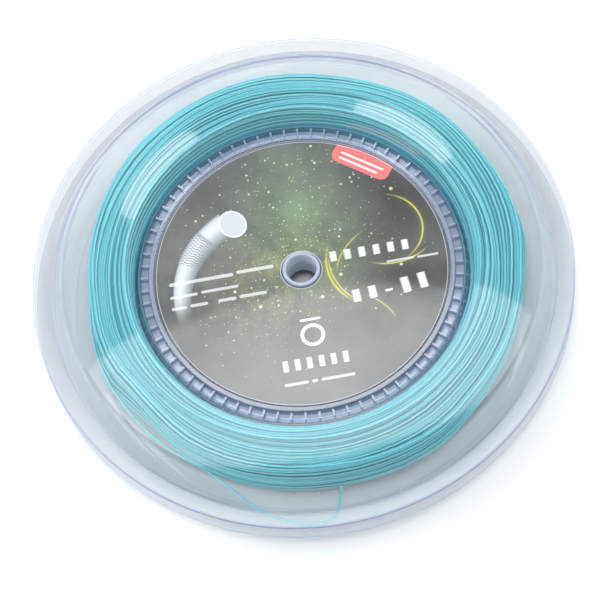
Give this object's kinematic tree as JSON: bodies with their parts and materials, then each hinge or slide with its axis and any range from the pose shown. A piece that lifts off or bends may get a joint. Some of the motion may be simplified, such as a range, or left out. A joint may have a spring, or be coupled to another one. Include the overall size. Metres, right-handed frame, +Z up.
{
  "type": "racket string reel",
  "caption": "Clear flanged reel of fine aqua racket string, with a printed disc in each recessed hub, a central spindle bore and flared rim lips that pinch the string end.",
  "frame": {"origin": "centre of the lower flange's outer face, on the reel's axis, at the surface that it lies on", "axes": "+Z up along the spindle bore's axis; the reel is round about Z; +X and +Y lie in the flange's plane, with the loose string end on the -Y side"},
  "size_m": [0.16, 0.16, 0.022],
  "materials": {
    "clear_moulding": "clear, faintly blue polystyrene with a polished mould finish",
    "printed_label": "card printed in dark grey with a star field, satin varnish",
    "racket_string": "coated multifilament nylon in aqua, semi-gloss"
  },
  "bodies": {
    "root": {"upper_reel_half": "clear_moulding", "lower_reel_half": "clear_moulding", "upper_label_disc": "printed_label", "lower_label_disc": "printed_label", "string_winding": "racket_string", "string_tail": "racket_string"}
  },
  "joints": []
}
